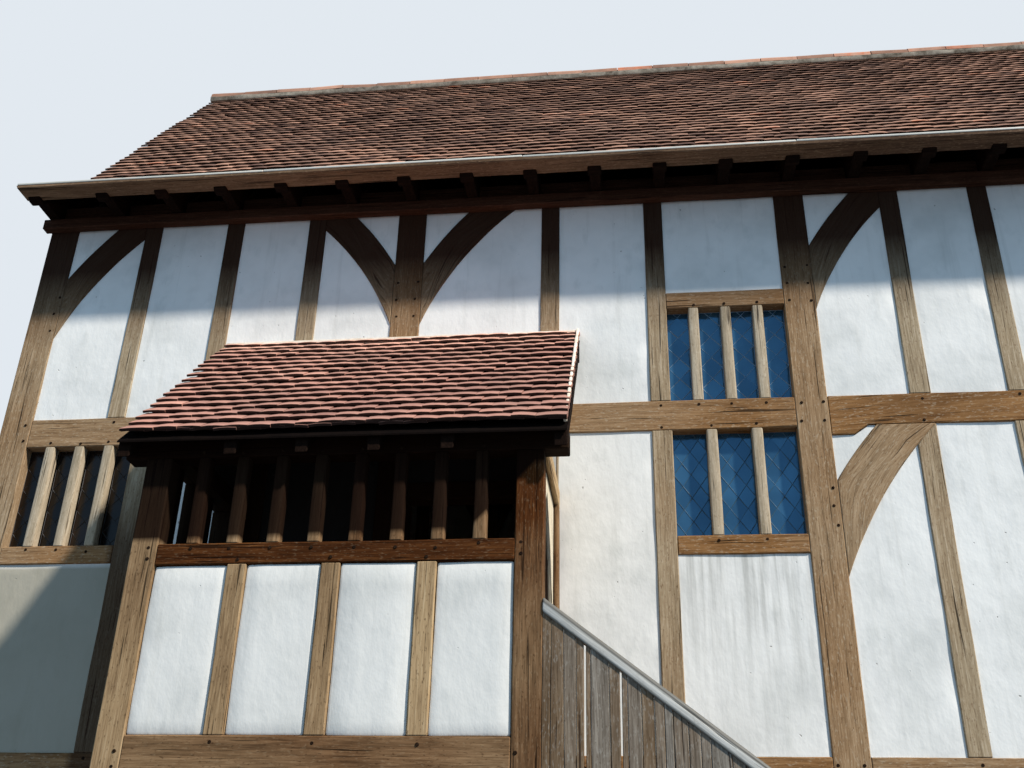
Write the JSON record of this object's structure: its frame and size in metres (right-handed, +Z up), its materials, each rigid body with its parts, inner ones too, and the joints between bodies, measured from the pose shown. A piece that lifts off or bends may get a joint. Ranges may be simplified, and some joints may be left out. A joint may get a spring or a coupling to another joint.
{
  "type": "half timbered house with covered stair landing",
  "caption": "Oak framed house with limewashed panels, a steep tiled roof and a tiled porch over an outside stair to the first floor.",
  "frame": {"origin": "on the ground under the middle post of the front wall, at the outer face of the oak frame", "axes": "+X along the front from the porch end, +Y into the house, +Z up"},
  "size_m": [13.768, 7.672, 11.6871],
  "materials": {
    "oak_frame": "weathered oak, honey brown to grey brown, deep grain and shakes",
    "oak_eave": "dark oak under the eave, sheltered and never bleached",
    "oak_inside": "old oak in shade, sawn",
    "oak_porch": "reddish brown oak, worn arrises",
    "oak_weathered": "silver grey weathered oak boards",
    "limewash": "limewashed lime plaster, hand trowelled",
    "roof_tiles": "hand made plain clay tiles, brown, grey and red",
    "porch_tiles": "hand made plain clay tiles, red to pink",
    "ridge_mortar": "clay ridge tiles bedded in lime mortar",
    "leaded_glass": "small diamond panes in lead, dark inside",
    "plinth_stone": "coursed rubble in lime mortar"
  },
  "bodies": {
    "root": {"cross_beams": "oak_inside", "end_plaster": "limewash", "end_plinths": "plinth_stone", "end_rails": "oak_frame", "end_sills": "oak_frame", "end_studs": "oak_frame", "floor_boards": "oak_inside", "floor_joists": "oak_inside", "front_plaster": "limewash", "front_rafters": "oak_inside", "front_rails": "oak_frame", "front_roof": "roof_tiles", "front_studs": "oak_frame", "gable_collars": "oak_frame", "gutters": "oak_eave", "handrail": "oak_weathered", "long_plinths": "plinth_stone", "long_sills": "oak_frame", "main_posts": "oak_frame", "newel": "oak_weathered", "porch_arch": "oak_porch", "porch_beams": "oak_porch", "porch_mullions": "oak_porch", "porch_plaster": "limewash", "porch_plates": "oak_porch", "porch_posts": "oak_porch", "porch_rafters": "oak_porch", "porch_roof": "porch_tiles", "porch_side_beams": "oak_porch", "porch_studs": "oak_porch", "rear_plaster": "limewash", "rear_rafters": "oak_inside", "rear_rails": "oak_frame", "rear_roof": "roof_tiles", "rear_studs": "oak_frame", "ridge": "ridge_mortar", "sprockets": "oak_inside", "stair_boards": "oak_weathered", "stair_risers": "oak_weathered", "stair_strings": "oak_weathered", "stair_treads": "oak_weathered", "tie_beams": "oak_frame", "wall_braces": "oak_frame", "wall_plates": "oak_eave", "window_glass": "leaded_glass", "window_mullions": "oak_frame"}
  },
  "joints": []
}
